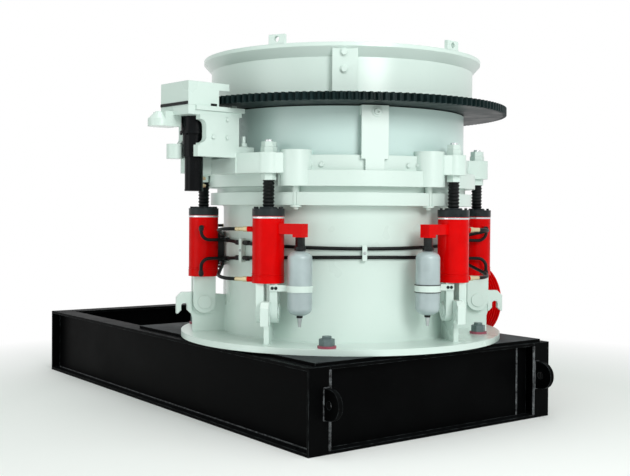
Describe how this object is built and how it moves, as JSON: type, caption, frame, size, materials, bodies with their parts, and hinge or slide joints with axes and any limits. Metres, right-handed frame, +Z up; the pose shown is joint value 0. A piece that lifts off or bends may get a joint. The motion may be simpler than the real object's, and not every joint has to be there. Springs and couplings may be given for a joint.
{
  "type": "cone crusher on skid",
  "caption": "Hydraulic cone crusher on a steel skid, with hopper, ring gear drive, tramp release cylinders and V-belt sheave.",
  "frame": {"origin": "crusher's vertical axis at floor level, centre of the four anchor holes", "axes": "+X along the skid towards the lifting lugs, +Y towards the drive sheave, +Z up"},
  "size_m": [3.856, 2.8559, 2.454],
  "materials": {
    "black_fitting": "black oxide",
    "black_head": "gloss black paint",
    "black_paint": "gloss black paint on rolled sections",
    "boot_rubber": "moulded black rubber bellows",
    "bottle_paint": "grey enamel",
    "brass_fitting": "yellow passivated fittings",
    "bright_steel": "ground steel",
    "gear_steel": "dark oiled gear steel",
    "hose_rubber": "black hydraulic hose",
    "motor_black": "black enamel",
    "red_paint": "gloss red paint",
    "red_washer": "primer red",
    "wear_steel": "cast manganese steel",
    "white_paint": "satin paint over castings and plate",
    "zinc_steel": "plain machined steel"
  },
  "bodies": {
    "frame": {"accumulator_arms": "red_paint", "accumulator_bottles": "bottle_paint", "accumulator_clamps": "white_paint", "accumulator_fittings": "black_fitting", "accumulator_valves": "zinc_steel", "clevis_pins": "white_paint", "cylinder_barrels": "red_paint", "cylinder_clevises": "white_paint", "cylinder_heads": "black_head", "deck_plate": "black_paint", "eccentric_housing": "wear_steel", "feed_plate": "wear_steel", "foundation_bolts": "zinc_steel", "foundation_washers": "red_washer", "frame_ribs": "white_paint", "frame_spider": "white_paint", "guide_pins": "zinc_steel", "hose_clips": "white_paint", "hose_couplings": "brass_fitting", "hose_fittings": "black_fitting", "hose_lines": "hose_rubber", "hose_loops": "hose_rubber", "main_frame": "white_paint", "mantle": "wear_steel", "skid_cross_beam": "black_paint", "skid_left_end_beam": "black_paint", "skid_lifting_lugs": "black_paint", "skid_long_beam_far": "black_paint", "skid_long_beam_near": "black_paint", "skid_right_end_beam": "black_paint"},
    "adjustment_ring": {"adjustment_ring": "white_paint", "dust_shell": "white_paint", "stop_plate": "white_paint", "drive_bracket": "white_paint", "drive_motor": "motor_black", "pinion_guard": "white_paint", "cylinder_rods": "bright_steel", "rod_nuts": "white_paint", "rod_boots": "boot_rubber"},
    "bowl": {"bowl": "white_paint", "bowl_liner": "wear_steel", "ring_gear": "gear_steel", "feed_hopper": "white_paint", "hopper_funnel": "white_paint", "hopper_ears": "white_paint", "hopper_bar": "white_paint"},
    "pinion": {"pinion": "gear_steel"},
    "countershaft": {"countershaft": "bright_steel", "drive_sheave": "red_paint"}
  },
  "joints": [
    {"name": "ring_lift", "type": "slide", "parent": "frame", "child": "adjustment_ring", "axis": [0, 0, 1], "range_m": [0, 0.06], "deforming": ["rod_boots"]},
    {"name": "bowl_turn", "type": "hinge", "parent": "adjustment_ring", "child": "bowl", "pos_m": [0, 0, 2], "axis": [0, 0, 1], "continuous": true},
    {"name": "pinion_spin", "type": "hinge", "parent": "adjustment_ring", "child": "pinion", "pos_m": [0.09666, -1.2282, 2.05], "axis": [0, 0, 1], "continuous": true},
    {"name": "countershaft_spin", "type": "hinge", "parent": "frame", "child": "countershaft", "pos_m": [0, 1.2, 0.703], "axis": [0, 1, 0], "continuous": true}
  ],
  "couplings": [
    {"joint": "pinion_spin", "follows": "bowl_turn", "ratio": -10}
  ]
}
